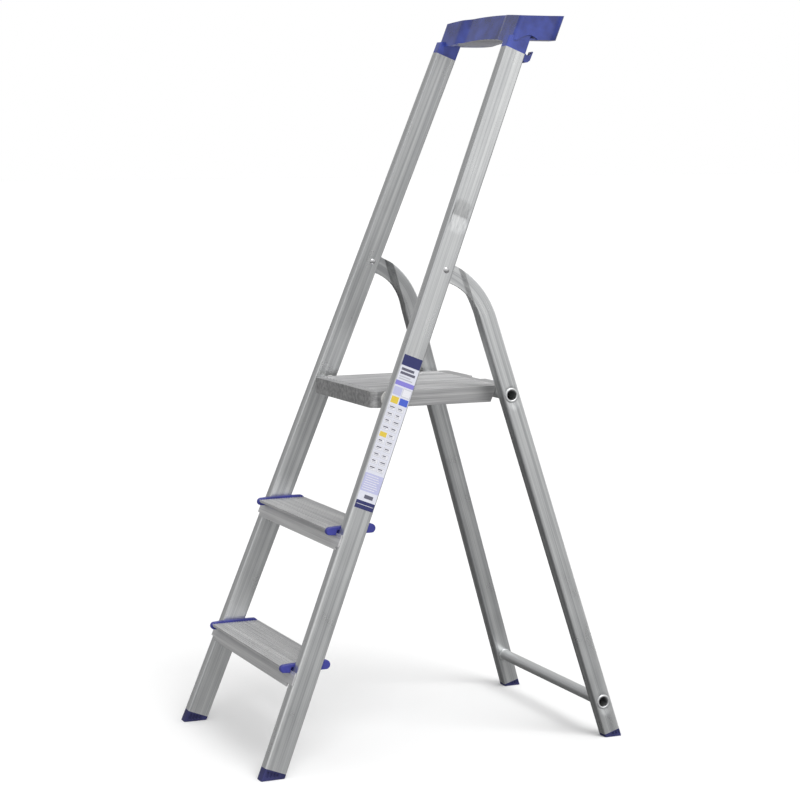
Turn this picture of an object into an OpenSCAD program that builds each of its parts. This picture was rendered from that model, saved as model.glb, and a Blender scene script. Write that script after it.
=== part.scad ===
// Folding aluminium platform steps: two treads, a platform, a guard frame and a tool tray.
// Millimetres. X is the width, -Y the side it is climbed from, +Z up.
// The origin is on the floor, in the middle of the footprint.

/* [Front frame] */
// Outer width across the two stiles at the floor
foot_width = 442; // [430:1:450]
// Rearward lean of the stiles from the vertical, in degrees
stile_lean = 21.6; // [21.4:0.1:21.8]
// Inward tilt of each stile, in degrees
stile_splay = 2.8; // [2.6:0.1:2.9]
// Depth of the stile section, front to back
stile_depth = 41; // [40:0.5:42]
// Width of the stile section
stile_width = 22; // [21.5:0.5:23]
// Where the metal of a stile starts, measured along it from the floor
stile_start = 23.5; // [20:0.5:26]
// Where the metal of a stile ends, measured along it from the floor
stile_end = 1343; // [1335:1:1350]
// Wall of the box sections
wall = 1.6; // [1.4:0.1:1.8]
// Outside corner radius of the box sections
corner = 3; // [2:0.5:4]

/* [Steps] */
// Height of the lower tread's top face
lower_step_z = 187.5; // [180:0.5:195]
// Rise from one tread to the next
step_rise = 230.5; // [225:0.5:232]
// Depth of a tread, front to back
tread_depth = 90; // [88:1:92]
// How far a tread's nose stands in front of the stiles
nose_reach = 22.7; // [20:0.1:25]
// Thickness of a tread's top plate
tread_plate = 3.2; // [2.5:0.1:4]
// Depth of the front skirt below the tread's top face
skirt_drop = 35; // [31:1:36]
// Thickness of the plastic cap at each end of a tread
cap_thickness = 9; // [7:1:10]

/* [Platform] */
// Height of the platform's top face
platform_z = 648; // [646:0.5:650]
// Width of the platform
platform_width = 275; // [260:1:285]
// Depth of the platform's side lips and front skirt
platform_drop = 30; // [28:1:31]
// Thickness of the platform's skin
platform_skin = 3; // [2.5:0.5:3.5]

/* [Rear frame] */
// Forward lean of the rear legs from the vertical, in degrees
leg_lean = 16.95; // [16.5:0.05:17.5]
// Inward tilt of each rear leg, in degrees
leg_splay = 2.975; // [2.8:0.025:3]
// Outer width across the rear legs at the height of their pins
leg_pin_width = 341.2; // [341:0.1:342]
// Depth of the rear leg section, front to back
leg_depth = 32; // [30:1:33]
// Width of the rear leg section
leg_width = 24; // [22:1:24]
// Distance of the leg pin along the stile, from the floor
pin_up = 933.6; // [930:0.1:937]
// Distance of the leg pin behind the stile's front face
pin_back = 27.2; // [26:0.1:28]
// Radius of the bend at the top of each leg
neck_radius = 138; // [134:1:142]
// Angle of the bend at the top of each leg, in degrees
neck_turn = 45; // [43:1:47]
// Distance from the start of the bend down to the upper cross tube
upper_tube_drop = 141; // [139:1:143]
// Distance between the two cross tubes
tube_spacing = 593; // [588:1:598]
// Outer diameter of the cross tubes
tube_d = 21; // [20:0.5:21]

/* [Tray] */
// Height of the tray's rim, in the middle of its width
rim_z = 1306.5; // [1303:0.5:1308]
// Height of the tray's wall
tray_height = 49; // [46:0.5:51]
// Outer width of the tray
tray_width = 314; // [312:1:318]
// Wall thickness of the tray
tray_wall = 2.5; // [2:0.5:3]

/* [Hidden] */
$fn = 48;

left = -1;
right = 1;
far = 2000;
gap = 0.3;                                   // between parts that move past each other
steps_z = [lower_step_z, lower_step_z + step_rise];

// Leg pin, in the side view.
pin_y = pin_up * sin(stile_lean) + pin_back * cos(stile_lean);
pin_z = pin_up * cos(stile_lean) - pin_back * sin(stile_lean);
pin_s = pin_up / cos(stile_splay);           // distance along a stile's own axis
pin_r = 4;
pin_play = 0.05;                             // radial play of a running fit

// Leg path, in axes that lean with the leg and start at the pin.
tip_length = 17;                             // straight end of the leg, past the bend
tip_run = tip_length * sin(neck_turn);
leg_offset = tip_run + neck_radius * (1 - cos(neck_turn));
bend_start = -tip_length * cos(neck_turn) - neck_radius * sin(neck_turn);
upper_tube_q = bend_start - upper_tube_drop;
lower_tube_q = upper_tube_q - tube_spacing;
leg_end_q = -903.9;                          // lower end of a leg's metal
tongue = 6.3;                                // thickness of the flattened leg end
tongue_set = 3.1;                            // how far it lies inside the leg's outer face
tip_turn = 32;                               // part of the bend that is closed by the press
waist = 4.5;                                 // how far the inside of the bend is drawn in
waist_chord = (neck_radius - leg_depth / 2) * sin(neck_turn / 2);
waist_sag = (neck_radius - leg_depth / 2) * (1 - cos(neck_turn / 2)) + waist;
waist_r = (waist_chord * waist_chord + waist_sag * waist_sag) / (2 * waist_sag);
waist_at = neck_radius - leg_depth / 2 + waist - waist_r;

// Middle of the footprint: the front edge of the feet is at 0 before this shift.
footprint_y = pin_y + pin_z * tan(leg_lean) + (leg_offset + leg_depth / 2) / cos(leg_lean);
mid_y = footprint_y / 2;

// Cross tubes, in the side view.
upper_tube_y = pin_y + leg_offset * cos(leg_lean) - upper_tube_q * sin(leg_lean);
upper_tube_z = pin_z + leg_offset * sin(leg_lean) + upper_tube_q * cos(leg_lean);
tube_wall = 1.2;
flare_r = tube_d / 2 + 2.6;                  // rolled rim of a tube's end
bead_r = tube_d / 2 + 2;                     // bead that grips the inner wall of a leg
rim_h = 1.6;                                 // height of the rolled rim and the bead

// Platform, in the side view.
platform_front = 242;
lip_end = 490;
platform_rear = 516;
hinge_y = 275;
hinge_z = platform_z - platform_drop / 2;
hinge_tube_r = 10;
hinge_tube_half = 168.5;                     // its ends lie just inside the stiles' inner walls
hinge_t = hinge_y * cos(stile_lean) - hinge_z * sin(stile_lean);
hinge_s = hinge_y * sin(stile_lean) + hinge_z * cos(stile_lean);
bush_r = 13.5;
platform_corner = 14;

// Tray.
tray_bottom = rim_z - tray_height;
tray_front_t = 7.1;                          // of the two wings, behind the stiles' front face
tray_step_t = 18.7;                          // of the middle panel, which is set back
tray_rear_t = 93.5;
neck_top_z = 1266;

// ---- Frames of reference ----

// Leans with the stiles: X across, Y square to the stile's front face, Z up along the stiles.
module front_plane() {
    translate([0, -mid_y, 0])
        rotate([-stile_lean, 0, 0])
            children();
}

// One stile: X = 0 is its outer face, and its metal lies at negative X.
module stile_axes(side) {
    front_plane()
        mirror([side < 0 ? 1 : 0, 0, 0])
            translate([foot_width / 2, 0, 0])
                rotate([0, -stile_splay, 0])
                    children();
}

// Leans with the rear legs and starts at the leg pins.
module rear_plane() {
    translate([0, pin_y - mid_y, pin_z])
        rotate([leg_lean, 0, 0])
            children();
}

// One rear leg: X = 0 is its outer face, and its metal lies at negative X.
module leg_axes(side) {
    rear_plane()
        mirror([side < 0 ? 1 : 0, 0, 0])
            translate([leg_pin_width / 2, 0, 0])
                rotate([0, -leg_splay, 0])
                    children();
}

// Cuts everything below the floor away.
module above_floor() {
    intersection() {
        children();
        translate([-far / 2, -far / 2, 0])
            cube([far, far, far]);
    }
}

// ---- Shared shapes ----

// Box section with round corners: x from -w to 0, y from 0 to d.
module section(w, d, r) {
    translate([-w, 0]) {
        translate([r, 0])
            square([w - 2 * r, d]);
        translate([0, r])
            square([w, d - 2 * r]);
        for (x = [r, w - r], y = [r, d - r])
            translate([x, y])
                circle(r);
    }
}

// The same section, hollow.
module hollow_section(w, d) {
    difference() {
        section(w, d, corner);
        translate([-wall, wall])
            section(w - 2 * wall, d - 2 * wall, corner - wall);
    }
}

// Round bar along X through the leg pins.
module pin_bar(r) {
    translate([-far / 2, pin_y - mid_y, pin_z])
        rotate([0, 90, 0])
            cylinder(h = far, r = r);
}

// Points of an arc.
function arc(cx, cy, r, from, to, n = 8) =
    [for (i = [0 : n]) let (a = from + (to - from) * i / n) [cx + r * cos(a), cy + r * sin(a)]];

// Half of an outline and its mirror image, joined into one polygon.
function mirrored(half) =
    concat(half, [for (i = [len(half) - 1 : -1 : 0]) [-half[i][0], half[i][1]]]);

// ---- Stiles ----

slot_low = -35;                              // slot for the leg's end, from the pin
slot_high = 17;
slot_width = tongue + 4;

module stile(side) {
    difference() {
        stile_axes(side)
            translate([0, 0, stile_start])
                linear_extrude(stile_end - stile_start)
                    hollow_section(stile_width, stile_depth);
        pin_bar(pin_r);
        stile_axes(side)
            translate([-(stile_width + slot_width) / 2, stile_depth - 2 * wall, pin_s + slot_low])
                cube([slot_width, 3 * wall, slot_high - slot_low]);
        stile_axes(side)
            pressed_mark();
        stile_tube_hole(side);
        for (z = steps_z)
            between_stiles(wall + 2)
                web_block(z, far);
        tray_rivet_hole(side);
    }
}

// Shallow pressed mark in the outer face, above the leg pin.
module pressed_mark() {
    mark_up = 1031;
    mark_depth = 1.1;
    mark_r = 437;
    translate([mark_r - mark_depth, stile_depth / 2, mark_up])
        rotate([90, 0, 0])
            cylinder(h = stile_depth - 14, r = mark_r, center = true);
}

// Hole in the stile's inner wall for the tube that the platform turns on.
module stile_tube_hole(side) {
    rotate_from = [0, side * 90, 0];
    translate([0, hinge_y - mid_y, hinge_z])
        rotate(rotate_from)
            cylinder(h = hinge_tube_half + 2, r = hinge_tube_r);
}

module stile_left() {
    color([0.78, 0.79, 0.80])
        stile(left);
}

module stile_right() {
    color([0.78, 0.79, 0.80])
        stile(right);
}

// ---- Steps ----

// Half of the clear width between the stiles at a height.
function half_clear(z) =
    foot_width / 2 - z / cos(stile_lean) * tan(stile_splay) - stile_width / cos(stile_splay) - 1;

function nose_y(z) = z * tan(stile_lean) - nose_reach;

web_front = 27;                              // box web under a tread, from the nose
web_depth = 24;
web_drop = 24;

// Outside of the box web that ties a tread to the stiles.
module web_block(z, length, grow = 0) {
    translate([0, nose_y(z) + web_front + web_depth / 2 - mid_y, z - web_drop / 2 - tread_plate / 2])
        cube([length, web_depth + 2 * grow, web_drop - tread_plate + 2 * grow], center = true);
}

// Keeps what lies between the stiles' outer faces, with a margin inside them.
module between_stiles(margin) {
    difference() {
        children();
        for (side = [left, right])
            stile_axes(side)
                translate([-margin, -far / 2, -200])
                    cube([far, far, far]);
    }
}

// Aluminium extrusion: ribbed tread, slanted skirt on the stiles' front faces, and a box web.
module step(z) {
    tread_half = half_clear(z) - cap_thickness;
    rear_lip = 14;
    rib = 1.6;
    rib_pitch = 5;
    union() {
        // top plate
        translate([-tread_half, nose_y(z) - mid_y, z - tread_plate])
            cube([2 * tread_half, tread_depth, tread_plate - 0.7]);
        for (y = [0 : rib_pitch : tread_depth - rib])
            translate([-tread_half, nose_y(z) - mid_y + y, z - 1])
                cube([2 * tread_half, rib, 1]);
        translate([-tread_half, nose_y(z) - mid_y, z - tread_plate - 1.5])
            cube([2 * tread_half, 3, 3]);
        translate([-tread_half, nose_y(z) + tread_depth - 3 - mid_y, z - rear_lip])
            cube([2 * tread_half, 3, rear_lip - 1]);
        skirt(z, tread_half);
        // box web, through the stiles' inner walls and flared over inside them
        difference() {
            between_stiles(stile_width - wall - 3)
                web_block(z, far);
            web_block(z, far, -wall);
        }
        difference() {
            between_stiles(stile_width - wall - 1.5)
                web_block(z, far, 1.2);
            between_stiles(stile_width - wall)
                web_block(z, far, 2);
            web_block(z, far, -wall);
        }
    }
}

// Front skirt: full height between the stiles, narrower where it crosses their front faces.
module skirt(z, tread_half) {
    thickness = 3;
    tongue_top = (z - 9) / cos(stile_lean);
    top = (z - tread_plate + 0.5) / cos(stile_lean);
    bottom = (z - skirt_drop) / cos(stile_lean);
    r = 6;
    between_stiles(0.4)
        front_plane()
            rotate([90, 0, 0])
                linear_extrude(thickness) {
                    translate([-tread_half, bottom])
                        square([2 * tread_half, top - bottom]);
                    translate([-far / 4, bottom + r])
                        square([far / 2, tongue_top - bottom - r]);
                    translate([-foot_width / 2 + 30, bottom])
                        square([foot_width - 60, r + 1]);
                }
}

module step_lower() {
    color([0.72, 0.73, 0.74])
        step(steps_z[0]);
}

module step_upper() {
    color([0.72, 0.73, 0.74])
        step(steps_z[1]);
}

// ---- Step caps ----

// Side view of a cap: a flat lens with a round nose and tail. Y from the tread's nose, Z from its top.
cap_profile = concat(
    arc(5, -5, 7, 235, 95),
    [[20, 3], [45, 3.5], [75, 3.5]],
    arc(82, -4.5, 8, 78, -82),
    [[50, -12.5], [22, -12.5]]);

module step_cap(side, z) {
    inner = half_clear(z) - cap_thickness;
    difference() {
        translate([side * (inner + far / 8), nose_y(z) - mid_y, z])
            rotate([90, 0, 90])
                linear_extrude(far / 4, center = true)
                    polygon(cap_profile);
        stile_axes(side)
            translate([-stile_width, -far / 2, 0])
                cube([far, far, far]);
        front_plane()
            translate([-far / 2, -3.2, 0])
                cube([far, 3.4, (z - tread_plate) / cos(stile_lean)]);
        web_block(z, far, 0.1);
    }
}

module step_cap_lower_left() {
    color([0.16, 0.19, 0.58])
        step_cap(left, steps_z[0]);
}

module step_cap_lower_right() {
    color([0.16, 0.19, 0.58])
        step_cap(right, steps_z[0]);
}

module step_cap_upper_left() {
    color([0.16, 0.19, 0.58])
        step_cap(left, steps_z[1]);
}

module step_cap_upper_right() {
    color([0.16, 0.19, 0.58])
        step_cap(right, steps_z[1]);
}

// ---- Feet ----

plug_length = 38;
plug_play = 0.15;
pocket_depth = 3;

// Wedge foot of a stile: plug inside the tube, sole flat on the floor, pockets in both sides.
module front_foot(side) {
    difference() {
        union() {
            above_floor()
                stile_axes(side)
                    translate([0, 0, -20])
                        linear_extrude(20 + stile_start)
                            section(stile_width, stile_depth, corner);
            stile_axes(side)
                translate([-wall - plug_play, wall + plug_play, stile_start - 1])
                    linear_extrude(plug_length)
                        section(stile_width - 2 * (wall + plug_play), stile_depth - 2 * (wall + plug_play), 1.5);
        }
        stile_axes(side)
            for (i = [0 : 3], x = [-stile_width - 1, 1 - pocket_depth])
                translate([x, 5 + i * 6, 9 + i * 2])
                    cube([pocket_depth, 4, 11 - i * 2]);
    }
}

module front_foot_left() {
    color([0.10, 0.12, 0.42])
        front_foot(left);
}

module front_foot_right() {
    color([0.10, 0.12, 0.42])
        front_foot(right);
}

// Wedge foot of a rear leg, deepest at the back, with a round toe.
module rear_foot(side) {
    difference() {
        union() {
            above_floor()
                leg_axes(side)
                    translate([0, leg_offset - leg_depth / 2, leg_end_q - 16])
                        linear_extrude(16)
                            section(leg_width, leg_depth, corner);
            leg_axes(side)
                translate([-wall - plug_play, leg_offset - leg_depth / 2 + wall + plug_play, leg_end_q - 1])
                    linear_extrude(plug_length)
                        section(leg_width - 2 * (wall + plug_play), leg_depth - 2 * (wall + plug_play), 1.5);
        }
        leg_axes(side)
            for (i = [0 : 2], x = [-leg_width - 1, 1 - pocket_depth])
                translate([x, leg_offset - 2 + i * 6, leg_end_q - 5.5 - i * 1.8])
                    cube([pocket_depth, 4, 4 + i * 1.8]);
    }
}

module rear_foot_left() {
    color([0.10, 0.12, 0.42])
        rear_foot(left);
}

module rear_foot_right() {
    color([0.10, 0.12, 0.42])
        rear_foot(right);
}

// ---- Tool tray ----

// Outline square to the stiles, moved inward by d: two wings, a set-back middle panel, round corners.
function tray_half(d) = let (w = tray_width / 2, blend_from = 65, blend = 30) concat(
    [for (i = [0 : 8]) [blend_from + blend * i / 8,
        tray_step_t + d - (tray_step_t - tray_front_t - 2) * (1 - cos(180 * i / 8)) / 2]],
    arc(w - 7, tray_front_t + 7, 7 - d, -90, 0),
    arc(w - 20, tray_rear_t - 20, 20 - d, 0, 90));

module tray_prism(d) {
    front_plane()
        translate([0, 0, stile_end - 60])
            linear_extrude(260)
                polygon(mirrored(tray_half(d)));
}

// Horizontal slice between two heights.
module slice(low, high) {
    intersection() {
        children();
        translate([-far / 2, -far / 2, low])
            cube([far, far, high - low]);
    }
}

// Shallow arch under the tray's floor, highest in the middle of its width.
module floor_arch(thickness) {
    half_chord = 115;
    rise = 7;
    arch_r = (half_chord * half_chord + rise * rise) / (2 * rise);
    translate([0, far / 2, tray_bottom + rise - arch_r])
        rotate([90, 0, 0])
            cylinder(h = far, r = arch_r + thickness, $fn = 360);
}

// Arched opening in a side wall, which leaves the neck's outer face bare.
module neck_opening(side) {
    stile_axes(side)
        translate([0.1, 0, 0])
            rotate([90, 0, 90])
                linear_extrude(8)
                    polygon(concat(
                        [[-8, stile_end - 8], [1, stile_end]],
                        arc(42, stile_end + 11, 24, 150, 60, 6),
                        [[49, stile_end + 27], [54, stile_end - 8]]));
}

// Crown of the rim, which is highest in the middle of the tray's width.
module under_crown() {
    drop = 6.5;
    half = tray_width / 2;
    crown_r = (half * half + drop * drop) / (2 * drop);
    intersection() {
        children();
        translate([0, far / 2, rim_z - crown_r])
            rotate([90, 0, 0])
                cylinder(h = far, r = crown_r, $fn = 720);
    }
}

module tool_tray() {
    floor_thickness = 2.5;
    ledge_depth = 24;
    ledge_z = rim_z - 17;
    color([0.18, 0.22, 0.62])
        difference() {
            union() {
                difference() {
                    under_crown()
                        slice(tray_bottom, rim_z)
                            tray_prism(0);
                    difference() {
                        slice(tray_bottom + floor_thickness, rim_z + 10)
                            tray_prism(tray_wall);
                        floor_arch(floor_thickness);
                    }
                    floor_arch(0);
                    for (side = [left, right])
                        neck_opening(side);
                }
                // ledge with tool holes along the back
                difference() {
                    slice(ledge_z - 2.5, ledge_z)
                        tray_prism(1);
                    translate([-far / 2, -far + ledge_front_y(), 0])
                        cube([far, far, far]);
                    for (x = [-110 : 44 : 110])
                        translate([x, ledge_front_y() + ledge_depth / 2, ledge_z - 20])
                            cylinder(h = 40, r = 6.5);
                }
                for (side = [left, right])
                    tray_neck(side);
                bucket_hook();
            }
            tray_rivet_hole(left);
            tray_rivet_hole(right);
        }
}

function ledge_front_y() =
    (tray_rear_t - 27) / cos(stile_lean) + (rim_z - 17) * tan(stile_lean) - mid_y;

// Neck that carries on the stile's section, and its plug inside the stile.
module tray_neck(side) {
    slice(0, neck_top_z)
        stile_axes(side)
            translate([0, 0, stile_end])
                linear_extrude(60)
                    section(stile_width, stile_depth, corner);
    stile_axes(side)
        translate([-wall - plug_play, wall + plug_play, stile_end - plug_length])
            linear_extrude(plug_length + 1)
                section(stile_width - 2 * (wall + plug_play), stile_depth - 2 * (wall + plug_play), 1.5);
}

// Small hook on the back of the right-hand neck, for a bucket or a bag.
module bucket_hook() {
    back = stile_depth + 0.4;
    stile_axes(right)
        translate([-stile_width + 4, 0, stile_end])
            rotate([90, 0, 90])
                linear_extrude(stile_width - 8)
                    polygon(concat(
                        [[back, 0.2], [stile_depth - 1, 0.2], [stile_depth - 1, 3.5]],
                        arc(back + 5, 8, 7, 230, 330, 5),
                        [[back + 12, 11], [back + 14, 11], [back + 13, -6]],
                        arc(back + 5, -5, 7, 335, 220, 6)));
}

// Hole for the rivet through a stile's rear wall and the tray's plug.
tray_rivet_r = 2.4;
module tray_rivet_hole(side) {
    stile_axes(side)
        translate([-stile_width / 2, stile_depth + 1, stile_end - plug_length / 2])
            rotate([90, 0, 0])
                cylinder(h = 11, r = tray_rivet_r);
}

module tray_rivets() {
    color([0.7, 0.7, 0.7])
        for (side = [left, right])
            stile_axes(side)
                translate([-stile_width / 2, stile_depth, stile_end - plug_length / 2])
                    rotate([90, 0, 0]) {
                        cylinder(h = 9, r = tray_rivet_r);
                        rotate([180, 0, 0])
                            rivet_head(4.5, 1.4);
                    }
}

// Low domed head that sits on Z = 0.
module rivet_head(r, h) {
    dome_r = (r * r + h * h) / (2 * h);
    rotate_extrude()
        intersection() {
            translate([0, h - dome_r])
                circle(dome_r, $fn = 96);
            square([r, h]);
        }
}

// ---- Label ----

module side_label() {
    label_from = 494;
    label_length = 278;
    label_margin = 2.4;
    color([0.93, 0.93, 0.95])
        stile_axes(right)
            translate([0, label_margin, label_from])
                cube([0.3, stile_depth - 2 * label_margin, label_length]);
}

// ---- Leg pins ----

// Rivet through both walls of the stile, which the leg's end turns on.
module leg_rivet(side) {
    head_r = 5.5;
    head_h = 2.2;
    intersection() {
        pin_bar(pin_r);
        stile_axes(side)
            translate([-stile_width - 0.5, -far / 2, 0])
                cube([stile_width + 1, far, far]);
    }
    stile_axes(side)
        translate([0, pin_back, pin_s]) {
            rotate([0, 90, 0])
                rivet_head(head_r, head_h);
            translate([-stile_width, 0, 0])
                rotate([0, -90, 0])
                    rivet_head(head_r, head_h);
        }
}

module leg_rivet_left() {
    color([0.66, 0.66, 0.68])
        leg_rivet(left);
}

module leg_rivet_right() {
    color([0.66, 0.66, 0.68])
        leg_rivet(right);
}

// Spacers on the rivets, between the leg's end and the stile's walls.
module leg_washers() {
    thickness = 5.4;
    centre = foot_width / 2 - pin_up * tan(stile_splay) - stile_width / 2;
    offset = tongue / 2 + 0.4;
    color([0.85, 0.85, 0.82])
        for (side = [left, right], face = [left, right])
            translate([side * centre + face * (offset + thickness / 2), pin_y - mid_y, pin_z])
                rotate([0, 90, 0])
                    difference() {
                        cylinder(h = thickness, r = 7, center = true);
                        cylinder(h = thickness + 1, r = pin_r, center = true);
                    }
}

// ---- Platform pivot ----

// Round bar along X on the platform's hinge line.
module hinge_bar(half, r) {
    translate([-half, hinge_y - mid_y, hinge_z])
        rotate([0, 90, 0])
            cylinder(h = 2 * half, r = r);
}

module platform_pivot_tube() {
    color([0.74, 0.75, 0.76])
        difference() {
            union() {
                hinge_bar(hinge_tube_half, hinge_tube_r);
                for (side = [left, right])
                    stile_axes(side)
                        translate([-stile_width, hinge_t, hinge_s / cos(stile_splay)])
                            rotate([0, -90, 0])
                                cylinder(h = 2.5, r = hinge_tube_r + 2);
            }
            hinge_bar(far, hinge_tube_r - tube_wall);
        }
}

// ---- Rear legs ----

// The leg's section made smaller by d all round, centred on the leg's path.
module leg_section(d) {
    translate([-d, d - leg_depth / 2])
        section(leg_width - 2 * d, leg_depth - 2 * d, corner - d);
}

// Straight part of the leg and its bend up to an angle, made smaller by d.
module leg_path(turn, d) {
    translate([0, leg_offset - neck_radius, bend_start]) {
        translate([0, neck_radius, leg_end_q - bend_start - d])
            linear_extrude(bend_start - leg_end_q + d)
                leg_section(d);
        rotate([90, 0, 90])
            rotate_extrude(angle = turn, $fn = 180)
                translate([neck_radius, 0])
                    rotate(90)
                        leg_section(d);
    }
}

// Material pressed away on both sides of the leg's end, up to a slanted crease. It leaves the tongue.
module tongue_cut() {
    crease = 26.6;                           // from the pin, square to the crease
    crease_slant = 46;
    slope_run = 10;
    rotate([neck_turn - 90 + crease_slant, 0, 0])
        linear_extrude(170, center = true) {
            polygon([
                [-tongue_set, -60], [-tongue_set, crease], [1, crease + slope_run],
                [5, crease + slope_run], [5, -60]]);
            polygon([
                [-tongue_set - tongue, -60], [-tongue_set - tongue, crease],
                [-leg_width - 1, crease + slope_run], [-leg_width - 5, crease + slope_run],
                [-leg_width - 5, -60]]);
        }
}

// Round bar that draws the inside of the bend in.
module waist_bar(d) {
    translate([0, leg_offset - neck_radius, bend_start])
        rotate([neck_turn / 2, 0, 0])
            translate([-far / 2, waist_at, 0])
                rotate([0, 90, 0])
                    cylinder(h = far, r = waist_r + d, $fn = 180);
}

module leg(side) {
    difference() {
        leg_axes(side)
            difference() {
                union() {
                    leg_path(neck_turn, 0);
                    leg_tip();
                }
                difference() {
                    leg_path(neck_turn - tip_turn, wall);
                    waist_bar(wall);
                }
                waist_bar(0);
                tongue_cut();
            }
        pin_bar(pin_r + pin_play);
        leg_axes_holes(upper_tube_q);
        leg_axes_holes(lower_tube_q);
    }
}

// Straight end of the leg with a round nose on the pin.
module leg_tip() {
    translate([0, leg_offset - neck_radius, bend_start])
        rotate([neck_turn, 0, 0])
            translate([0, neck_radius, 0]) {
                linear_extrude(tip_length)
                    leg_section(0);
                translate([-leg_width, 0, tip_length])
                    rotate([0, 90, 0])
                        cylinder(h = leg_width, r = leg_depth / 2);
            }
}

// Bore along X for a cross tube.
module leg_axes_holes(q) {
    rear_plane()
        translate([-far / 2, leg_offset, q])
            rotate([0, 90, 0])
                cylinder(h = far, r = tube_d / 2);
}

module rear_leg_left() {
    color([0.76, 0.77, 0.78])
        leg(left);
}

module rear_leg_right() {
    color([0.76, 0.77, 0.78])
        leg(right);
}

// ---- Cross tubes ----

// Tube through both legs, with beads inside the legs' inner faces and rims rolled over outside.
module cross_tube(q) {
    half = leg_pin_width / 2 - q * tan(leg_splay);
    r = tube_d / 2;
    difference() {
        union() {
            rear_plane()
                translate([-half, leg_offset, q])
                    rotate([0, 90, 0])
                        cylinder(h = 2 * half, r = r);
            for (side = [left, right])
                leg_axes(side)
                    translate([0, leg_offset, q / cos(leg_splay)])
                        rotate([0, 90, 0]) {
                            cylinder(h = rim_h, r = flare_r);
                            translate([0, 0, -leg_width - 3])
                                cylinder(h = 3, r = bead_r);
                        }
        }
        rear_plane()
            translate([-far / 2, leg_offset, q])
                rotate([0, 90, 0])
                    cylinder(h = far, r = r - tube_wall);
    }
}

module platform_rest_tube() {
    color([0.74, 0.75, 0.76])
        cross_tube(upper_tube_q);
}

module lower_cross_tube() {
    color([0.74, 0.75, 0.76])
        cross_tube(lower_tube_q);
}

// ---- Platform ----

// Plan of the skin: round corners all round, and a finger notch in the back edge.
module platform_plan(rear, d = 0) {
    w = platform_width / 2;
    rear_r = 12;
    polygon(mirrored(concat(
        arc(w - platform_corner, platform_front + platform_corner, platform_corner - d, -90, 0),
        arc(w - rear_r, rear - rear_r, rear_r - d, 0, 90))));
}

// Space that the rest tube leaves by as the platform lifts and the legs swing in.
module rest_tube_path() {
    clear_r = tube_d / 2 + 0.5;
    path_slope = 23.4;                       // of the tube's path past the platform
    translate([0, upper_tube_y - mid_y, upper_tube_z])
        rotate([path_slope * -1, 0, 0])
            rotate([0, 90, 0]) {
                cylinder(h = far, r = clear_r, center = true);
                translate([0, -clear_r, -far / 2])
                    cube([60, 2 * clear_r, far]);
            }
}

module platform() {
    notch_w = 56;
    notch_d = 11;
    rib_pitch = 15;
    rib_w = 5;
    rib_h = 0.9;
    top = platform_z - rib_h;
    pad_z = upper_tube_z + tube_d / 2 + gap;
    color([0.70, 0.71, 0.72])
        difference() {
            translate([0, -mid_y, 0])
                union() {
                    translate([0, 0, top - platform_skin])
                        linear_extrude(platform_skin)
                            difference() {
                                platform_plan(platform_rear);
                                translate([-notch_w / 2, platform_rear - notch_d])
                                    square([notch_w, notch_d + 1]);
                            }
                    // skirt and lips
                    translate([0, 0, platform_z - platform_drop])
                        linear_extrude(platform_drop - rib_h - 1)
                            difference() {
                                platform_plan(platform_rear);
                                platform_plan(platform_rear + 30, 3);
                                translate([-far / 2, lip_end])
                                    square([far, far]);
                            }
                    // rolled back edge
                    for (side = [left, right])
                        translate([side * (platform_width / 4 + notch_w / 8), platform_rear - 3, top - 11])
                            translate([-(platform_width - notch_w) / 4 + 7, 0, 0])
                                cube([(platform_width - notch_w) / 2 - 14, 3, 10]);
                    // grip ribs
                    for (x = [-8 : 8])
                        translate([x * rib_pitch - rib_w / 2, platform_front + 14, top - 0.5])
                            cube([rib_w, platform_rear - platform_front - 40, rib_h + 0.5]);
                    // stiffeners and pads that rest on the rear tube
                    for (x = [-75, -25, 25, 75])
                        translate([x - 1.5, platform_front + 2, top - 12])
                            cube([3, lip_end - platform_front - 2, 10]);
                    for (x = [-100, -50, 50, 100])
                        translate([x - 8, upper_tube_y - 9, pad_z])
                            cube([16, 18, top - pad_z - 1]);
                }
            slice(0, pad_z)
                rest_tube_path();
            hinge_bar(far, hinge_tube_r + 0.6);
            for (side = [left, right])
                translate([side * platform_width / 2 - 8, hinge_y - mid_y, hinge_z])
                    rotate([0, 90, 0])
                        cylinder(h = 16, r = bush_r);
        }
}

// Flanged plastic bush in a side lip, running on the pivot tube.
module platform_bush(side) {
    flange_r = bush_r + 1.5;
    inside = platform_width / 2 - 3;
    color([0.82, 0.82, 0.80])
        mirror([side < 0 ? 1 : 0, 0, 0])
            translate([inside, hinge_y - mid_y, hinge_z])
                rotate([0, 90, 0])
                    difference() {
                        union() {
                            cylinder(h = 5, r = bush_r);
                            translate([0, 0, 3])
                                cylinder(h = 3, r = flange_r);
                        }
                        translate([0, 0, -1])
                            cylinder(h = 10, r = hinge_tube_r + pin_play);
                    }
}

module platform_bush_left() {
    platform_bush(left);
}

module platform_bush_right() {
    platform_bush(right);
}

stile_left();
stile_right();
step_lower();
step_upper();
step_cap_lower_left();
step_cap_lower_right();
step_cap_upper_left();
step_cap_upper_right();
front_foot_left();
front_foot_right();
tool_tray();
tray_rivets();
side_label();
leg_rivet_left();
leg_rivet_right();
leg_washers();
platform_pivot_tube();
rear_leg_left();
rear_leg_right();
platform_rest_tube();
lower_cross_tube();
rear_foot_left();
rear_foot_right();
platform();
platform_bush_left();
platform_bush_right();
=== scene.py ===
import math

import bmesh
import bpy
from mathutils import Euler, Matrix, Vector


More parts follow.
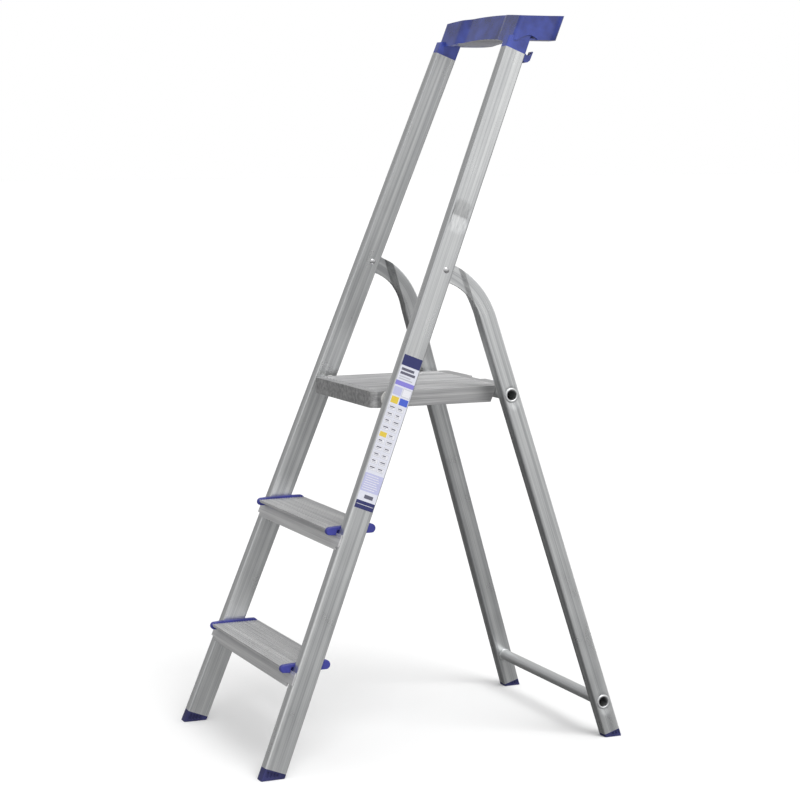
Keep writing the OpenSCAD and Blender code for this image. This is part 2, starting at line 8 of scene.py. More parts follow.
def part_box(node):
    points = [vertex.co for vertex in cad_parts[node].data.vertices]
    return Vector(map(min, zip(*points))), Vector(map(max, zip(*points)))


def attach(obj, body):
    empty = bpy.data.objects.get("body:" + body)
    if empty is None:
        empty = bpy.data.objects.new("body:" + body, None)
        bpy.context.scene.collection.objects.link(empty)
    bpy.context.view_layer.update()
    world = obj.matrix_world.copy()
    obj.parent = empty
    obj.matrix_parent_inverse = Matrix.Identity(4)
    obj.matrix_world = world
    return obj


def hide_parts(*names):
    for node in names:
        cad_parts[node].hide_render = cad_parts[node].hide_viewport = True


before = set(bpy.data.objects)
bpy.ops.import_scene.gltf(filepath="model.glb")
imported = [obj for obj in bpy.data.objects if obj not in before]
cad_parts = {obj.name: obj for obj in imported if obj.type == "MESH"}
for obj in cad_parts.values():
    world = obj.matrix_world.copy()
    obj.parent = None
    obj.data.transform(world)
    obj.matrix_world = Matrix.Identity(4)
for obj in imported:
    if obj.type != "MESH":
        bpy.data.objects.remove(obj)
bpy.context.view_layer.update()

# ---- Camera ----
# A long lens at chest height, in front of the steps and to their right.
camera = bpy.data.objects.new("camera", bpy.data.cameras.new("camera"))
bpy.context.scene.collection.objects.link(camera)
bpy.context.scene.camera = camera
camera.location = (3.5862, -1.5619, 1.0755)
camera.rotation_euler = Euler([math.radians(a) for a in (83.290, 0.184, 66.369)])
camera.data.lens = 97.15
camera.data.sensor_width = 36
camera.data.shift_y = -0.00183
camera.data.clip_end = 200

# ---- Floor and light ----
# A pale studio floor that metal does not mirror, a soft light above and to the right, a dim side
# to the front left and a dark surround below the horizon.
PAPER_WHITE = (0.95, 0.95, 0.95, 1)
FLOOR_REACH = 60
SKY_WHITE = (1, 1, 1, 1)
LIGHT_SIDE = (0.55, 0.25, 0.40)
SIDE_FALLOFF = (-0.90, 0.90, 0.20, 1.10)
HORIZON_FALLOFF = (-0.10, 0.01, 0.34, 1.0)
SUN_SIDE = (0.55, 0.12, 0.83)


def new_material(name):
    """A material with its node tree and its shader."""
    material = bpy.data.materials.new(name)
    material.use_nodes = True
    return material, material.node_tree, material.node_tree.nodes["Principled BSDF"]


def set_range(node, limits):
    """Fills a map-range node: from low, from high, to low, to high."""
    for socket, value in zip(("From Min", "From Max", "To Min", "To Max"), limits):
        node.inputs[socket].default_value = value


floor_mesh = bmesh.new()
bmesh.ops.create_grid(floor_mesh, x_segments=1, y_segments=1, size=FLOOR_REACH)
floor = bpy.data.objects.new("floor", bpy.data.meshes.new("floor"))
floor_mesh.to_mesh(floor.data)
floor_mesh.free()
bpy.context.scene.collection.objects.link(floor)
floor.visible_glossy = False
paper, paper_tree, paper_shader = new_material("floor_paper")
paper_shader.inputs["Base Color"].default_value = PAPER_WHITE
paper_shader.inputs["Roughness"].default_value = 0.9
floor.data.materials.append(paper)

studio = bpy.data.worlds.new("studio")
bpy.context.scene.world = studio
studio.use_nodes = True
sky = studio.node_tree
sky.nodes.clear()


def sky_node(kind, **settings):
    node = sky.nodes.new(kind)
    for key, value in settings.items():
        setattr(node, key, value)
    return node


direction = sky_node("ShaderNodeTexCoord")
facing = sky_node("ShaderNodeVectorMath", operation="DOT_PRODUCT")
facing.inputs[1].default_value = LIGHT_SIDE
sky.links.new(direction.outputs["Generated"], facing.inputs[0])
soft_side = sky_node("ShaderNodeMapRange")
set_range(soft_side, SIDE_FALLOFF)
sky.links.new(facing.outputs["Value"], soft_side.inputs["Value"])
height = sky_node("ShaderNodeSeparateXYZ")
sky.links.new(direction.outputs["Generated"], height.inputs["Vector"])
dark_ground = sky_node("ShaderNodeMapRange", interpolation_type="SMOOTHSTEP")
set_range(dark_ground, HORIZON_FALLOFF)
sky.links.new(height.outputs["Z"], dark_ground.inputs["Value"])
both = sky_node("ShaderNodeMath", operation="MULTIPLY")
sky.links.new(soft_side.outputs["Result"], both.inputs[0])
sky.links.new(dark_ground.outputs["Result"], both.inputs[1])
lit = sky_node("ShaderNodeBackground")
lit.inputs["Color"].default_value = SKY_WHITE
sky.links.new(both.outputs["Value"], lit.inputs["Strength"])
seen = sky_node("ShaderNodeBackground")
seen.inputs["Color"].default_value = SKY_WHITE
rays = sky_node("ShaderNodeLightPath")
choose = sky_node("ShaderNodeMixShader")
sky.links.new(rays.outputs["Is Camera Ray"], choose.inputs["Fac"])
sky.links.new(lit.outputs["Background"], choose.inputs[1])
sky.links.new(seen.outputs["Background"], choose.inputs[2])
world_out = sky_node("ShaderNodeOutputWorld")
sky.links.new(choose.outputs["Shader"], world_out.inputs["Surface"])

sun = bpy.data.objects.new("soft_light", bpy.data.lights.new("soft_light", "SUN"))
bpy.context.scene.collection.objects.link(sun)
sun.data.energy = 1.5
sun.data.angle = math.radians(35)
sun.rotation_euler = Vector(SUN_SIDE).to_track_quat("Z", "Y").to_euler()
bpy.context.scene.view_settings.view_transform = "Standard"

# ---- Stiles ----
# Two box sections of drawn aluminium that lean back and in, from the front feet to the tray. A
# press left one shallow V in each outer face, and a slot in each rear wall takes a rear leg's end.
STILE_LEAN = math.radians(21.6)
STILE_SPLAY = math.radians(2.8)
STILE_DEPTH = 0.041
STILE_WIDTH = 0.022
STILE_WALL = 0.0016
STILE_CORNER = 0.003
STILE_START = 0.0235
STILE_END = 1.343
LEG_PIN_UP = 0.9347
V_UP = 1.031
V_REACH = 0.030
V_DEPTH = 0.0026
V_CENTRE = 0.018
V_SHOULDER = 0.022
V_TAPER = 0.45
V_CURVE = 1.15
V_FADE = 0.003
V_ROWS = 12
V_COLUMNS = 10
V_COLUMN = 0.0032
SLOT_HALF = 0.00515
SLOT_LOW = LEG_PIN_UP - 0.035
SLOT_HIGH = LEG_PIN_UP + 0.017
NEAR = 0.0001
CUT_SNAP = 0.0000001
LINE_PITCH = 0.0011
BAND_PITCH = 0.007
MARK_ACROSS = 0.035
MARK_ALONG = 0.05
PATTERN_START = (0.37, 0.61, 0.23)
SIDES = {"left": -1, "right": 1}
FORWARD = -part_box("front_foot_right")[0][1]
HALF_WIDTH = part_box("front_foot_right")[1][0]


def stile_place(side):
    """Axes of one stile: Y runs back from its front face, Z up it, X = 0 is its outer face."""
    return (Matrix.Translation((0, -FORWARD, 0)) @ Matrix.Rotation(-STILE_LEAN, 4, "X")
            @ Matrix.Translation((side * HALF_WIDTH, 0, 0))
            @ Matrix.Rotation(-side * STILE_SPLAY, 4, "Y"))


def new_piece(name, shape, body, nodes, smooth=30, edge=0, turn=30):
    """Makes an object of a finished bmesh, smooth up to an angle, and ties it to its body. With an
    edge, every edge sharper than turn is rounded by that much."""
    mesh = bpy.data.meshes.new(name)
    shape.to_mesh(mesh)
    shape.free()
    piece = bpy.data.objects.new(name, mesh)
    bpy.context.scene.collection.objects.link(piece)
    mesh.shade_smooth()
    mesh.set_sharp_from_angle(angle=math.radians(smooth))
    if edge:
        rounding = piece.modifiers.new("rounding", "BEVEL")
        rounding.width = edge
        rounding.segments = 2
        rounding.limit_method = "ANGLE"
        rounding.angle_limit = math.radians(turn)
    flat_faces = piece.modifiers.new("flat_faces", "WEIGHTED_NORMAL")
    flat_faces.weight = 100
    flat_faces.keep_sharp = True
    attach(piece, body)
    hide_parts(*nodes)
    return piece


def keep_flow(shape, place=None, unbend=None):
    """Stores where each vertex lies along its own extrusion, which the drawing lines follow."""
    flow = shape.verts.layers.float_vector.new("flow")
    back = place.inverted() if place else Matrix()
    for vert in shape.verts:
        local = back @ vert.co
        vert[flow] = unbend(local) if unbend else local


def steps(start, step, count):
    """Evenly spaced places."""
    return [start + i * step for i in range(count)]


def cut_across(shape, axis, places):
    """Cuts a shape through by planes square to one axis."""
    normal = Vector([1 if i == axis else 0 for i in range(3)])
    for place in places:
        bmesh.ops.bisect_plane(shape, geom=shape.verts[:] + shape.edges[:] + shape.faces[:],
                               dist=CUT_SNAP, plane_co=normal * place, plane_no=normal)


def long_box(width, depth, low, high, corner):
    """Open box section along Z, from X = -width to 0 and Y = 0 to depth, with round edges."""
    shape = bmesh.new()
    bmesh.ops.create_cube(shape, size=1)
    bmesh.ops.scale(shape, vec=(width, depth, high - low), verts=shape.verts)
    bmesh.ops.translate(shape, vec=(-width / 2, depth / 2, (low + high) / 2), verts=shape.verts)
    long_edges = [e for e in shape.edges if abs(e.verts[0].co.z - e.verts[1].co.z) > width]
    bmesh.ops.bevel(shape, geom=long_edges, offset=corner, offset_type="OFFSET", affect="EDGES",
                    segments=5, profile=0.5, material=-1)
    ends = [f for f in shape.faces if abs(f.normal.z) > 0.9]
    bmesh.ops.delete(shape, geom=ends, context="FACES")
    return shape


def press_v(shape):
    """Presses the V into the outer face: a crisp valley with arched slopes above and below."""
    for vert in shape.verts:
        x, t, s = vert.co
        if x < -NEAR or abs(s - V_UP) > V_REACH:
            continue
        reach = V_REACH * (1 - V_TAPER * abs((t - V_CENTRE) / V_SHOULDER) ** 3)
        slope = max(0.0, 1 - abs(s - V_UP) / reach)
        edge = min(1.0, (t - STILE_CORNER) / V_FADE, (STILE_DEPTH - STILE_CORNER - t) / V_FADE)
        vert.co.x -= V_DEPTH * slope ** V_CURVE * max(0.0, edge)


def ranged(tree, source, limits):
    """Maps a value from one range to another."""
    spread = tree.nodes.new("ShaderNodeMapRange")
    set_range(spread, limits)
    tree.links.new(source, spread.inputs["Value"])
    return spread.outputs["Result"]


def toned(tree, source, dark, light, low=0.0, high=1.0):
    """Turns a value into a tone between dark and light."""
    shade = tree.nodes.new("ShaderNodeValToRGB")
    for end, place, tone in zip(shade.color_ramp.elements, (low, high), (dark, light)):
        end.position = place
        end.color = (*tone, 1)
    tree.links.new(source, shade.inputs["Fac"])
    return shade.outputs["Color"]


def roughened(tree, shader, source, strength, depth):
    """Gives a shader a bump that follows a value."""
    bump = tree.nodes.new("ShaderNodeBump")
    bump.inputs["Strength"].default_value = strength
    bump.inputs["Distance"].default_value = depth
    tree.links.new(source, bump.inputs["Height"])
    tree.links.new(bump.outputs["Normal"], shader.inputs["Normal"])


def drawn_aluminium(name, dark, light, roughness, metallic=0.9, run=0.35, depth=0.00003):
    """Mill-finish aluminium with fine lines along the flow, lighter bands and handling marks."""
    material, tree, shader = new_material(name)
    shader.inputs["Metallic"].default_value = metallic
    flow = tree.nodes.new("ShaderNodeAttribute")
    flow.attribute_name = "flow"

    def streaks(pitch, length, detail):
        stretch = tree.nodes.new("ShaderNodeMapping")
        stretch.inputs["Location"].default_value = PATTERN_START
        stretch.inputs["Scale"].default_value = (1 / pitch, 1 / pitch, 1 / length)
        tree.links.new(flow.outputs["Vector"], stretch.inputs["Vector"])
        noise = tree.nodes.new("ShaderNodeTexNoise")
        noise.inputs["Scale"].default_value = 1
        noise.inputs["Detail"].default_value = detail
        tree.links.new(stretch.outputs["Vector"], noise.inputs["Vector"])
        return noise.outputs["Fac"]

    lines = streaks(LINE_PITCH, run, 4)
    bands = streaks(BAND_PITCH, run * 2, 1)
    marks = streaks(MARK_ACROSS, MARK_ALONG, 4)
    mixed = tree.nodes.new("ShaderNodeMix")
    mixed.inputs["Factor"].default_value = 0.5
    tree.links.new(lines, mixed.inputs["A"])
    tree.links.new(bands, mixed.inputs["B"])
    tree.links.new(toned(tree, mixed.outputs["Result"], dark, light, low=0.38, high=0.62),
                   shader.inputs["Base Color"])
    tree.links.new(ranged(tree, marks, (0.3, 0.7, roughness - 0.06, roughness + 0.07)),
                   shader.inputs["Roughness"])
    roughened(tree, shader, lines, 0.35, depth)
    return material


stile_metal = drawn_aluminium("stile_mill_finish", (0.50, 0.51, 0.52), (0.76, 0.77, 0.77), 0.32)
for side_name, side in SIDES.items():
    stile = long_box(STILE_WIDTH, STILE_DEPTH, STILE_START, STILE_END, STILE_CORNER)
    v_rows = [V_UP + i * V_REACH / V_ROWS for i in range(-V_ROWS - 1, V_ROWS + 2)]
    cut_across(stile, 2, [SLOT_LOW, SLOT_HIGH] + v_rows)
    cut_across(stile, 1, steps(STILE_CORNER + V_FADE, V_COLUMN, V_COLUMNS))
    cut_across(stile, 0, [-STILE_WIDTH / 2 - SLOT_HALF, -STILE_WIDTH / 2 + SLOT_HALF])
    slot_faces = [f for f in stile.faces if f.calc_center_median().y > STILE_DEPTH - NEAR
                  and abs(f.calc_center_median().x + STILE_WIDTH / 2) < SLOT_HALF
                  and SLOT_LOW < f.calc_center_median().z < SLOT_HIGH]
    bmesh.ops.delete(stile, geom=slot_faces, context="FACES")
    press_v(stile)
    keep_flow(stile)
    if side < 0:
        bmesh.ops.scale(stile, vec=(-1, 1, 1), verts=stile.verts)
    bmesh.ops.recalc_face_normals(stile, faces=stile.faces)
    bmesh.ops.solidify(stile, geom=stile.faces[:], thickness=STILE_WALL)
    bmesh.ops.transform(stile, matrix=stile_place(side), verts=stile.verts)
    piece = new_piece("stile_" + side_name + "_metal", stile, "front_frame",
                      ["stile_" + side_name], smooth=16)
    piece.data.materials.append(stile_metal)

# ---- Treads ----
# Two aluminium extrusions with a ribbed top, a slanted front skirt that crosses the stiles' front
# faces, and a box web underneath that is flared over inside the stiles.
MERGE = 0.00001


def rounded_copy(name, node, body, edge, place=None, unbend=None, cuts=None, press=None,
                 turn=30, smooth=30):
    """Copy of a CAD solid, merged, with its sharp edges rounded. It stands for the solid. With
    cuts, the copy is cut across along its own axes, and press then shapes its finer faces."""
    shape = bmesh.new()
    shape.from_mesh(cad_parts[node].data)
    bmesh.ops.remove_doubles(shape, verts=shape.verts, dist=MERGE)
    bmesh.ops.dissolve_limit(shape, angle_limit=math.radians(0.5), verts=shape.verts,
                             edges=shape.edges)
    if cuts:
        bmesh.ops.transform(shape, matrix=place.inverted(), verts=shape.verts)
        for axis, places in cuts.items():
            cut_across(shape, axis, places)
        press(shape)
        bmesh.ops.transform(shape, matrix=place, verts=shape.verts)
    keep_flow(shape, place, unbend)
    return new_piece(name, shape, body, [node], smooth, edge, turn)


ALONG_X = Matrix.Rotation(math.radians(90), 4, "Y")
tread_metal = drawn_aluminium("tread_mill_finish", (0.56, 0.56, 0.57), (0.78, 0.78, 0.78), 0.48,
                              metallic=0.75, run=0.25)
for tread in ("step_lower", "step_upper"):
    piece = rounded_copy(tread + "_extrusion", tread, "front_frame", 0.0004,
                         place=ALONG_X)
    piece.data.materials.append(tread_metal)

# ---- Step caps ----
# Four moulded caps of blue plastic, a flat lens in side view. They are pressed on the ends of the
# treads and stand proud of the stiles in front and behind.


def moulded_plastic(name, dark, light, roughness, grain=0.0006, coat=0.0):
    """Moulded plastic: a slow drift in its colour, and a fine grain that dulls the gloss."""
    material, tree, shader = new_material(name)
    shader.inputs["Coat Weight"].default_value = coat
    shader.inputs["Coat Roughness"].default_value = 0.08
    place = tree.nodes.new("ShaderNodeTexCoord")
    drift = tree.nodes.new("ShaderNodeTexNoise")
    drift.inputs["Scale"].default_value = 22
    drift.inputs["Detail"].default_value = 3
    tree.links.new(place.outputs["Object"], drift.inputs["Vector"])
    tree.links.new(toned(tree, drift.outputs["Fac"], dark, light, low=0.35, high=0.65),
                   shader.inputs["Base Color"])
    pores = tree.nodes.new("ShaderNodeTexNoise")
    pores.inputs["Scale"].default_value = 1 / grain
    pores.inputs["Detail"].default_value = 2
    tree.links.new(place.outputs["Object"], pores.inputs["Vector"])
    gloss = (0.3, 0.7, roughness - 0.04, roughness + 0.05)
    tree.links.new(ranged(tree, pores.outputs["Fac"], gloss), shader.inputs["Roughness"])
    roughened(tree, shader, pores.outputs["Fac"], 0.15, 0.00005)
    return material


cap_blue = moulded_plastic("cap_plastic_blue", (0.022, 0.026, 0.19), (0.040, 0.046, 0.30), 0.38)
for tread in ("lower", "upper"):
    for side_name in SIDES:
        node = "step_cap_" + tread + "_" + side_name
        piece = rounded_copy(node + "_moulding", node, "front_frame", 0.0008,
                             turn=40)
        piece.data.materials.append(cap_blue)

# ---- Platform ----
# A pressed aluminium sheet with side lips, a front skirt, a rolled back edge and raised grip ribs.
# It turns on a tube between the stiles, in two nylon bushes, and rests on the upper cross tube.
platform_metal = drawn_aluminium("platform_satin_finish", (0.36, 0.36, 0.37), (0.64, 0.64, 0.64),
                                 0.40, metallic=0.8, run=0.12)
ALONG_Y = Matrix.Rotation(math.radians(-90), 4, "X")
piece = rounded_copy("platform_sheet", "platform", "platform", 0.0006,
                     place=ALONG_Y)
piece.data.materials.append(platform_metal)
nylon = moulded_plastic("turned_nylon", (0.62, 0.62, 0.60), (0.72, 0.72, 0.70), 0.5)
for side_name in SIDES:
    node = "platform_bush_" + side_name
    piece = rounded_copy(node + "_turned", node, "platform", 0.0004)
    piece.data.materials.append(nylon)
tube_metal = drawn_aluminium("tube_satin_finish", (0.60, 0.61, 0.62), (0.74, 0.75, 0.75), 0.38,
                             run=0.3)
piece = rounded_copy("platform_pivot_tube_drawn", "platform_pivot_tube", "front_frame",
                     0.0003, place=ALONG_X)
piece.data.materials.append(tube_metal)

# ---- Rear legs ----
# Two box sections of drawn aluminium with a swan-neck bend. A press closed each top end to a flat
# tongue that turns on a rivet in the stile, and dished the wall round the two cross tubes.
LEG_LEAN = math.radians(16.95)
LEG_SPLAY = math.radians(2.975)
LEG_DEPTH = 0.032
LEG_WIDTH = 0.024
LEG_OFFSET = 0.05244
NECK_RADIUS = 0.138
NECK_TURN = math.radians(45)
TIP_LENGTH = 0.0171
BEND_START = -TIP_LENGTH * math.cos(NECK_TURN) - NECK_RADIUS * math.sin(NECK_TURN)
TUBE_UP = {"upper": BEND_START - 0.141, "lower": BEND_START - 0.734}
DISH_REACH = 0.013
DISH_DEPTH = 0.0024
DISH_LIMIT = 0.0014
DISH_TAIL = 0.028
DISH_RISE = 1.3
DISH_MARGIN = 0.004
BEND_ROWS = steps(BEND_START - 0.01, 0.004, 36)
DISH_ROWS = [row for up in TUBE_UP.values() for row in steps(up - 0.032, 0.0026, 20)]
LEG_COLUMNS = steps(-0.01, 0.003, 26)
PIN_HALF = 0.1706
pin_box = [Vector(c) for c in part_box("leg_washers")]
PIN_Y = (pin_box[0].y + pin_box[1].y) / 2
PIN_Z = (pin_box[0].z + pin_box[1].z) / 2


def leg_place(side):
    """Axes of one leg: Y runs back across it, Z up it from the pin, X = 0 is its outer face."""
    return (Matrix.Translation((0, PIN_Y, PIN_Z)) @ Matrix.Rotation(LEG_LEAN, 4, "X")
            @ Matrix.Translation((side * PIN_HALF, 0, 0))
            @ Matrix.Rotation(-side * LEG_SPLAY, 4, "Y"))


def along_leg(point):
    """Straightens the bend, so that the drawing lines follow it."""
    if point.z < BEND_START:
        return point
    out = Vector((point.y - LEG_OFFSET + NECK_RADIUS, point.z - BEND_START))
    turn = min(math.atan2(out.y, out.x), NECK_TURN)
    past = out.y * math.cos(NECK_TURN) - out.x * math.sin(NECK_TURN) if turn == NECK_TURN else 0
    return Vector((point.x, out.length + LEG_OFFSET - NECK_RADIUS,
                   BEND_START + turn * NECK_RADIUS + past))


def dish_walls(shape, side):
    """Presses the outer wall in round each cross tube, with a shallow tail below it."""
    for vert in shape.verts:
        from_front = vert.co.y - LEG_OFFSET + LEG_DEPTH / 2
        if abs(vert.co.x) > NEAR or not DISH_MARGIN < from_front < LEG_DEPTH - DISH_MARGIN:
            continue
        for up in TUBE_UP.values():
            across = vert.co.y - LEG_OFFSET
            along = vert.co.z - up / math.cos(LEG_SPLAY)
            stretch = DISH_TAIL / DISH_REACH if along < 0 else DISH_RISE
            away = math.hypot(across, along / stretch) / DISH_REACH
            if away < 1:
                vert.co.x -= side * min(DISH_LIMIT, DISH_DEPTH * (1 - away * away) ** 1.5)


leg_metal = drawn_aluminium("leg_mill_finish", (0.43, 0.44, 0.45), (0.70, 0.71, 0.71), 0.32)
for side_name, side in SIDES.items():
    node = "rear_leg_" + side_name
    piece = rounded_copy(node + "_metal", node, "rear_frame", 0.0005,
                         place=leg_place(side), unbend=along_leg,
                         cuts={2: BEND_ROWS + DISH_ROWS, 1: LEG_COLUMNS},
                         press=lambda shape: dish_walls(shape, side), smooth=12)
    piece.data.materials.append(leg_metal)

# ---- Cross tubes ----
# Two drawn tubes that tie the legs together. Each end is rolled over outside the leg, and a bead
# grips the leg's inner wall.
TUBE_WALL = 0.0012
TUBE_RADIUS = 0.0105
TUBE_SIDES = 48
RIM_RADIUS = 0.0109
RIM_ROLL = 0.0015
RIM_BREADTH = 0.0021
BEAD_RADIUS = TUBE_RADIUS + 0.0004
BEAD_ROLL = 0.0013
BEAD_BREADTH = 0.0016
BEAD_CLEAR = 0.0015
ROLL_SIDES = 12


def linked_to(start):
    """Every vertex that edges join to the given ones."""
    found, waiting = set(start), list(start)
    while waiting:
        for edge in waiting.pop().link_edges:
            for vert in edge.verts:
                if vert not in found:
                    found.add(vert)
                    waiting.append(vert)
    return found


def ring(shape, radius, roll_across, roll_out, place):
    """Adds a closed ring of oval section round the X axis of a place."""
    section = bmesh.ops.create_circle(shape, cap_ends=False, segments=ROLL_SIDES, radius=1)["verts"]
    bmesh.ops.scale(shape, vec=(roll_across, roll_out, 1), verts=section)
    bmesh.ops.translate(shape, vec=(0, radius, 0), verts=section)
    edges = [e for e in shape.edges if all(v in section for v in e.verts)]
    swept = bmesh.ops.spin(shape, geom=section + edges, cent=(0, 0, 0), axis=(1, 0, 0),
                           dvec=(0, 0, 0), angle=math.tau, steps=TUBE_SIDES, use_merge=True,
                           use_duplicate=False)
    last = [g for g in swept["geom_last"] if isinstance(g, bmesh.types.BMVert)]
    whole = list(linked_to(last))
    bmesh.ops.transform(shape, matrix=place, verts=whole)
    bmesh.ops.recalc_face_normals(shape, faces=list({f for v in whole for f in v.link_faces}))


for height, node in (("upper", "platform_rest_tube"), ("lower", "lower_cross_tube")):
    half = PIN_HALF - TUBE_UP[height] * math.tan(LEG_SPLAY)
    tube = bmesh.new()
    bmesh.ops.create_cone(tube, cap_ends=False, segments=TUBE_SIDES, radius1=TUBE_RADIUS,
                          radius2=TUBE_RADIUS, depth=2 * half)
    bmesh.ops.recalc_face_normals(tube, faces=tube.faces)
    bmesh.ops.solidify(tube, geom=tube.faces[:], thickness=TUBE_WALL)
    bmesh.ops.rotate(tube, cent=(0, 0, 0), matrix=Matrix.Rotation(math.radians(90), 3, "Y"),
                     verts=tube.verts)
    centre = Matrix.Translation((0, PIN_Y, PIN_Z)) @ Matrix.Rotation(LEG_LEAN, 4, "X")
    bmesh.ops.transform(tube, verts=tube.verts,
                        matrix=centre @ Matrix.Translation((0, LEG_OFFSET, TUBE_UP[height])))
    for side in SIDES.values():
        at_leg = leg_place(side) @ Matrix.Translation((0, LEG_OFFSET,
                                                       TUBE_UP[height] / math.cos(LEG_SPLAY)))
        inside = Matrix.Translation((-side * (LEG_WIDTH + BEAD_CLEAR), 0, 0))
        ring(tube, RIM_RADIUS, RIM_ROLL, RIM_BREADTH, at_leg)
        ring(tube, BEAD_RADIUS, BEAD_ROLL, BEAD_BREADTH, at_leg @ inside)
    keep_flow(tube, ALONG_X)
    piece = new_piece(node + "_drawn", tube, "rear_frame", [node])
    piece.data.materials.append(tube_metal)

# ---- Rivets and washers ----
# Solid rivets with low domed heads hold the legs' ends in the stiles, between nylon washers. Two
# small blind rivets hold the tray's plugs.
rivet_metal = drawn_aluminium("rivet_bright", (0.50, 0.50, 0.51), (0.66, 0.66, 0.67), 0.22,
                              run=0.02)
for node in ("leg_rivet_left", "leg_rivet_right", "tray_rivets"):
    piece = rounded_copy(node + "_domed", node, "front_frame", 0.0002)
    piece.data.materials.append(rivet_metal)
piece = rounded_copy("leg_washers_turned", "leg_washers", "front_frame", 0.0003)
piece.data.materials.append(nylon)

# ---- Feet ----
# Four wedges of navy plastic, plugged into the ends of the stiles and legs, with ribbed pockets.
foot_navy = moulded_plastic("foot_plastic_navy", (0.012, 0.013, 0.075), (0.026, 0.028, 0.13), 0.45)
for node, body in (("front_foot_left", "front_frame"), ("front_foot_right", "front_frame"),
                   ("rear_foot_left", "rear_frame"), ("rear_foot_right", "rear_frame")):
    piece = rounded_copy(node + "_moulding", node, body, 0.0005, turn=40)
    piece.data.materials.append(foot_navy)

# ---- Tool tray ----
# A moulded bin of glossy blue plastic with two necks that carry on the stiles, a ledge with holes
# for tools along its back, and a small hook for a bucket on the right.
UNDERSIDE_HALF = 0.116
UNDERSIDE_TOP = 1.268
tray_blue = moulded_plastic("tray_plastic_blue", (0.014, 0.023, 0.15), (0.038, 0.062, 0.33), 0.22,
                            coat=0.5)
piece = rounded_copy("tool_tray_moulding", "tool_tray", "front_frame", 0.0006,
                     turn=40)
piece.data.materials.append(tray_blue)
# The arched underside between the necks is painted a paler grey-blue: a painted reflection of the
# pale floor below, over a real glossy coat.
tray_painted_reflection = moulded_plastic("tray_underside_painted_reflection", (0.34, 0.35, 0.42), (0.46, 0.47, 0.55),
                              0.14, coat=1.0)
piece.data.materials.append(tray_painted_reflection)
# Faces that look down between the necks take the painted floor reflection.
for face in piece.data.polygons:
    low = abs(face.center.x) < UNDERSIDE_HALF and face.center.z < UNDERSIDE_TOP
    if face.normal.z < -0.9 and low:
        face.material_index = 1

# ---- Label ----
# A printed film on the outer face of the right stile, with plain blocks and bars and no lettering.
LABEL_LOW = 0.494
LABEL_HIGH = 0.772
LABEL_EDGE = 0.0024
FILM = 0.0003
PRINT = 0.00012
INKS = {"film": (0.60, 0.61, 0.68), "navy": (0.02, 0.025, 0.12), "dark": (0.10, 0.10, 0.14),
        "grey": (0.42, 0.43, 0.47), "violet": (0.20, 0.18, 0.55), "lavender": (0.42, 0.43, 0.62),
        "yellow": (0.62, 0.46, 0.05), "blue": (0.05, 0.10, 0.50), "white": (0.66, 0.66, 0.70)}


def printed(name, colour):
    """Satin print on film, slightly uneven."""
    material, tree, shader = new_material("label_" + name)
    shader.inputs["Roughness"].default_value = 0.42
    place = tree.nodes.new("ShaderNodeTexCoord")
    mottle = tree.nodes.new("ShaderNodeTexNoise")
    mottle.inputs["Scale"].default_value = 900
    tree.links.new(place.outputs["Object"], mottle.inputs["Vector"])
    dark, light = [c * 0.85 for c in colour], [min(1, c * 1.12) for c in colour]
    tree.links.new(toned(tree, mottle.outputs["Fac"], dark, light), shader.inputs["Base Color"])
    return material


label = bmesh.new()


def label_plate(ink, across, width, below, height, lift=PRINT):
    """One thin plate: across from the label's front edge, below its top edge."""
    plate = bmesh.ops.create_cube(label, size=1)["verts"]
    bmesh.ops.scale(label, vec=(FILM + lift, width, height), verts=plate)
    bmesh.ops.translate(label, vec=((FILM + lift) / 2, LABEL_EDGE + across + width / 2,
                                    LABEL_HIGH - below - height / 2), verts=plate)
    number = list(INKS).index(ink)
    for face in {f for v in plate for f in v.link_faces}:
        face.material_index = number


LABEL_WIDTH = STILE_DEPTH - 2 * LABEL_EDGE
COLUMNS = (0.002, 0.0185)
CELL_WIDTH = 0.0135
CELL_HIGH = 0.0085
FRAME = 0.0005
ROWS = 10
ROW_TOP = 0.091
ROW_PITCH = 0.0122
YELLOW_ROW = 4
SMALL_BARS = 7

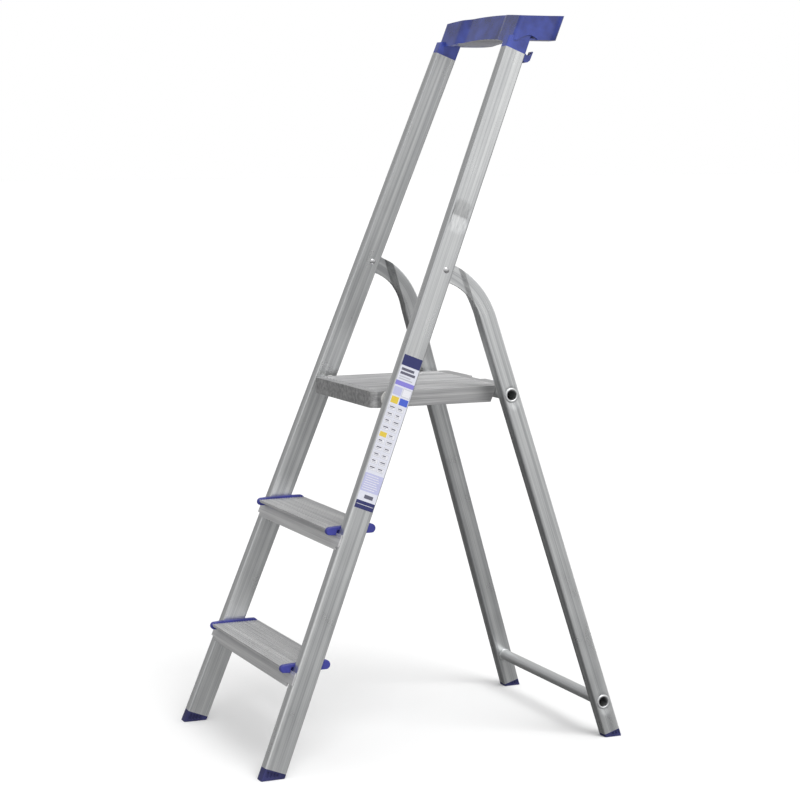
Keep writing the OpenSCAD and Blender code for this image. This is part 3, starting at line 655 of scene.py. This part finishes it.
# The film, its navy head and the bars below it.
label_plate("film", 0, LABEL_WIDTH, 0, LABEL_HIGH - LABEL_LOW, lift=0)
label_plate("navy", 0, LABEL_WIDTH, 0, 0.019)
label_plate("dark", 0.003, 0.025, 0.023, 0.0045)
label_plate("dark", 0.003, 0.029, 0.030, 0.0045)
label_plate("grey", 0.003, 0.022, 0.0375, 0.002)
label_plate("grey", 0.003, 0.027, 0.0415, 0.002)
label_plate("violet", 0, LABEL_WIDTH, 0.0465, 0.008)
# Two pale boxes and two coloured blocks.
label_plate("lavender", 0.001, 0.016, 0.0575, 0.0145)
label_plate("grey", 0.0185, 0.0165, 0.0575, 0.0145)
label_plate("white", 0.0193, 0.0149, 0.0583, 0.0129, lift=2 * PRINT)
label_plate("yellow", 0.002, 0.014, 0.075, 0.012)
label_plate("blue", 0.0185, 0.0165, 0.075, 0.012)
# Two columns of framed cells, each with two short bars.
for row in range(ROWS):
    below = ROW_TOP + row * ROW_PITCH
    for column, across in enumerate(COLUMNS):
        if row == YELLOW_ROW and column == 0:
            label_plate("yellow", across, CELL_WIDTH, below, CELL_HIGH)
            continue
        long_bar = 0.0095 - (row + column) % 3 * 0.0015
        short_bar = 0.007 + (row * 2 + column) % 3 * 0.0015
        label_plate("grey", across, CELL_WIDTH, below, CELL_HIGH)
        label_plate("white", across + FRAME, CELL_WIDTH - 2 * FRAME, below + FRAME,
                    CELL_HIGH - 2 * FRAME, lift=2 * PRINT)
        label_plate("dark", across + 0.002, long_bar, below + 0.002, 0.0018, lift=3 * PRINT)
        label_plate("grey", across + 0.002, short_bar, below + 0.005, 0.0013, lift=3 * PRINT)
# A lavender field with fine bars, one dark bar and the navy foot.
label_plate("lavender", 0, LABEL_WIDTH, 0.2150, 0.032)
for bar in range(SMALL_BARS):
    label_plate("white", 0.003, 0.024 + bar % 3 * 0.002, 0.2185 + bar * 0.004, 0.0011,
                lift=2 * PRINT)
label_plate("dark", 0.012, 0.017, 0.2525, 0.0065)
label_plate("navy", 0, LABEL_WIDTH, 0.264, 0.014)
label_plate("white", 0.002, LABEL_WIDTH - 0.004, 0.270, 0.0008, lift=2 * PRINT)
bmesh.ops.transform(label, matrix=stile_place(1), verts=label.verts)
piece = new_piece("side_label_film", label, "front_frame", ["side_label"])
for ink, colour in INKS.items():
    piece.data.materials.append(printed(ink, colour))
